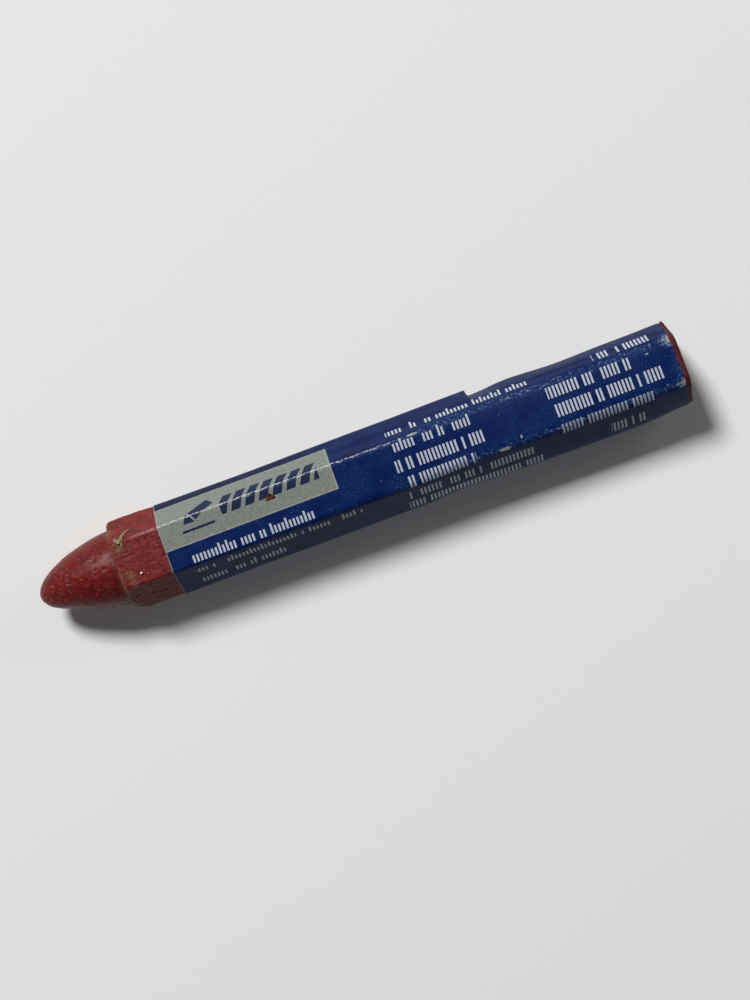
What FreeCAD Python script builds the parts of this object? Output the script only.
import FreeCAD, Part
import math
import os

# A used lumber crayon: a moulded wax stick, six sided, in a paper label that was
# rolled round it once and pasted where it laps over itself.
# It lies along X on one flat, nose towards -X, with the label touching z = 0.
# Seen from the butt, the flats are named round the stick: top, upper and lower
# face on the +Y side, bottom, lower and upper face on the -Y side.

# Driving dimensions, in millimetres
overall_length = 108.5
across_flats = 13.0
corner_radius_at_shoulder = 1.4   # still fairly crisp at the nose end
corner_radius_at_butt = 3.0       # rubbed round where the hand holds it

nose_length = 13.8
nose_base_radius = 6.15
nose_fullness = 1.5               # exponent of the ogive: 2 is an ellipse, 1 a parabola

shoulder_round_length = 2.1       # the mould turns the corners down to the nose
shoulder_radius = 6.8
shoulder_quick_length = 0.3       # share of that length in which the rounding makes
shoulder_quick_rise = 0.65        # this share of its rise
butt_edge_radius = 0.35

label_behind_tip = 21.9
butt_beyond_label = 0.7
paper_thickness = 0.12
paste_under_label = 0.04
paste_in_lap = 0.03

start_edge_from_corner = 3.5      # first edge of the paper, on the upper +Y face
free_edge_from_corner = 2.0       # last edge of the paper, on the lower +Y face
lap_ramp_gap = 0.4                # from the first edge to where the lap comes down
lap_ramp_length = 0.6
pickup_paste_width = 3.0
paste_inset_from_ends = 1.5
paste_inset_from_edge = 0.2

# Places worked out from the driving dimensions
tip_x = -overall_length / 2
butt_x = overall_length / 2
shoulder_x = tip_x + nose_length
label_front_x = tip_x + label_behind_tip
label_rear_x = butt_x - butt_beyond_label

under_label = paste_under_label
over_label = under_label + paper_thickness
under_lap = over_label + paste_in_lap
over_lap = under_lap + paper_thickness
axis_height = across_flats / 2 + over_label

clearance = 1.0                   # how far a cutting tool overshoots what it cuts
far = across_flats * 2            # wider than anything in the section


def on_axis(x, y, z):
    """A point given from the stick's own axis."""
    return FreeCAD.Vector(x, y, z + axis_height)


def hex_bar(offset):
    """The whole shaft, grown by offset, its corners rounder towards the butt."""
    corner = (across_flats / 2 + offset) / math.cos(math.radians(30))
    corners = []
    for step in range(7):
        turn = math.radians(60 * step)
        corners.append(on_axis(shoulder_x, corner * math.cos(turn), corner * math.sin(turn)))
    length = butt_x - shoulder_x
    prism = Part.Face(Part.makePolygon(corners)).extrude(FreeCAD.Vector(length, 0, 0))
    long_edges = [edge for edge in prism.Edges if edge.Length > length - clearance]
    return prism.makeFillet(
        corner_radius_at_shoulder + offset, corner_radius_at_butt + offset, long_edges
    )


def revolved(edges):
    """Spin a half profile, closed by its own line along the axis."""
    profile = Part.Face(Part.Wire(edges))
    return profile.revolve(on_axis(0, 0, 0), FreeCAD.Vector(1, 0, 0), 360)


def nose_radius(behind_tip):
    """Radius of the ogive at a distance behind the tip."""
    left = max(0.0, 1 - behind_tip / nose_length)
    return nose_base_radius * math.sqrt(1 - left ** nose_fullness)


def make_nose():
    """Blunt ogive, with a short spigot that reaches into the shaft."""
    spans = 10
    stations = [nose_length * (step / spans) ** 2 for step in range(spans + 1)]
    outline = [on_axis(tip_x + s, 0, nose_radius(s)) for s in stations]
    flank = Part.BSplineCurve()
    flank.interpolate(
        Points=outline,
        InitialTangent=FreeCAD.Vector(0, 0, 1),
        FinalTangent=FreeCAD.Vector(1, 0, 0),
    )
    spigot_end_x = shoulder_x + shoulder_round_length
    spigot_rim = on_axis(spigot_end_x, 0, nose_base_radius)
    spigot_centre = on_axis(spigot_end_x, 0, 0)
    return revolved([
        flank.toShape(),
        Part.makeLine(outline[-1], spigot_rim),
        Part.makeLine(spigot_rim, spigot_centre),
        Part.makeLine(spigot_centre, outline[0]),
    ])


def make_shoulder_envelope():
    """Turned shape that trims the corners of the shaft next to the nose."""
    corner_reach = across_flats / 2 / math.cos(math.radians(30))
    round_end_x = shoulder_x + shoulder_round_length
    front_centre = on_axis(shoulder_x, 0, 0)
    front_rim = on_axis(shoulder_x, 0, shoulder_radius)
    round_middle = on_axis(
        shoulder_x + shoulder_round_length * shoulder_quick_length,
        0,
        shoulder_radius + (corner_reach - shoulder_radius) * shoulder_quick_rise,
    )
    round_end = on_axis(round_end_x, 0, corner_reach)
    wide_front = on_axis(round_end_x, 0, corner_reach + clearance)
    wide_rear = on_axis(butt_x + clearance, 0, corner_reach + clearance)
    rear_centre = on_axis(butt_x + clearance, 0, 0)
    return revolved([
        Part.makeLine(front_centre, front_rim),
        Part.Arc(front_rim, round_middle, round_end).toShape(),
        Part.makeLine(round_end, wide_front),
        Part.makeLine(wide_front, wide_rear),
        Part.makeLine(wide_rear, rear_centre),
        Part.makeLine(rear_centre, front_centre),
    ])


def make_wax_stick():
    """Shaft, shoulder and nose are one moulding."""
    shaft = hex_bar(0)
    butt_face = [face for face in shaft.Faces if abs(face.CenterOfMass.x - butt_x) < 1e-6]
    shaft = shaft.makeFillet(butt_edge_radius, butt_face[0].Edges)
    shaft = shaft.common(make_shoulder_envelope())
    return shaft.fuse(make_nose()).removeSplitter()


def along_label(section, inset=0):
    """Extrude a section of (y, z) points from one end of the label to the other."""
    start = label_front_x + inset
    points = [on_axis(start, y, z) for y, z in section]
    face = Part.Face(Part.makePolygon(points + points[:1]))
    return face.extrude(FreeCAD.Vector(label_rear_x - inset - start, 0, 0))


def on_upper_face(up, out):
    """Section point on the upper +Y face: up from its lower corner, out from the wax."""
    lean = math.radians(30)
    from_axis = across_flats / 2 + out
    half_width = across_flats / 2 * math.tan(lean)
    side = up - half_width
    return (
        from_axis * math.cos(lean) - side * math.sin(lean),
        from_axis * math.sin(lean) + side * math.cos(lean),
    )


def on_lower_face(down, out):
    """Section point on the lower +Y face: down from its upper corner, out from the wax."""
    y, z = on_upper_face(down, out)
    return (y, -z)


def corner_sector(up, down):
    """Everything round the +Y corner, from up on one face to down on the other."""
    return along_label([
        (0, 0),
        on_upper_face(up, -paper_thickness),
        on_upper_face(up, far),
        (far * 2, 0),
        on_lower_face(down, far),
        on_lower_face(down, -paper_thickness),
    ])


def shell(inside, outside, inset=0):
    """Sleeve of the label's length between two offsets from the wax."""
    slab = along_label([(-far, -far), (far, -far), (far, far), (-far, far)], inset)
    return hex_bar(outside).cut(hex_bar(inside)).common(slab)


def make_paper_label():
    """One sheet: once round the wax, then up over its own first edge."""
    ramp_top = start_edge_from_corner + lap_ramp_gap
    ramp_foot = ramp_top + lap_ramp_length
    slot = along_label([
        on_upper_face(start_edge_from_corner, -paper_thickness),
        on_upper_face(start_edge_from_corner, clearance),
        on_upper_face(ramp_foot, clearance),
        on_upper_face(ramp_foot, -paper_thickness),
    ])
    ramp = along_label([
        on_upper_face(ramp_top, under_lap),
        on_upper_face(ramp_top, over_lap),
        on_upper_face(ramp_foot, over_label),
        on_upper_face(ramp_foot, under_label),
    ])
    first_turn = shell(under_label, over_label).cut(slot)
    lap = shell(under_lap, over_lap).common(corner_sector(ramp_top, free_edge_from_corner))
    return first_turn.fuse([ramp, lap]).removeSplitter()


def make_pickup_glue():
    """Stripe of paste that holds the first edge of the paper to the wax."""
    top = start_edge_from_corner - paste_inset_from_edge
    bottom = top - pickup_paste_width
    stripe = along_label([
        on_upper_face(bottom, -paper_thickness),
        on_upper_face(bottom, clearance),
        on_upper_face(top, clearance),
        on_upper_face(top, -paper_thickness),
    ])
    return shell(0, under_label, paste_inset_from_ends).common(stripe)


def make_lap_glue():
    """Film of paste between the two layers where the label laps."""
    sector = corner_sector(
        start_edge_from_corner - paste_inset_from_edge,
        free_edge_from_corner - paste_inset_from_edge,
    )
    return shell(over_label, under_lap, paste_inset_from_ends).common(sector)


pieces = {
    "wax_stick": make_wax_stick(),
    "paper_label": make_paper_label(),
    "pickup_glue": make_pickup_glue(),
    "lap_glue": make_lap_glue(),
}

os.makedirs("parts", exist_ok=True)
for name, shape in pieces.items():
    solid = shape.Solids[0]
    box = solid.optimalBoundingBox()
    print(name, "solids:", len(shape.Solids), "valid:", solid.isValid(), "mm3:", round(solid.Volume, 2))
    print("    lowest", round(box.XMin, 2), round(box.YMin, 2), round(box.ZMin, 2))
    print("    highest", round(box.XMax, 2), round(box.YMax, 2), round(box.ZMax, 2))
    solid.exportStep("parts/" + name + ".step")
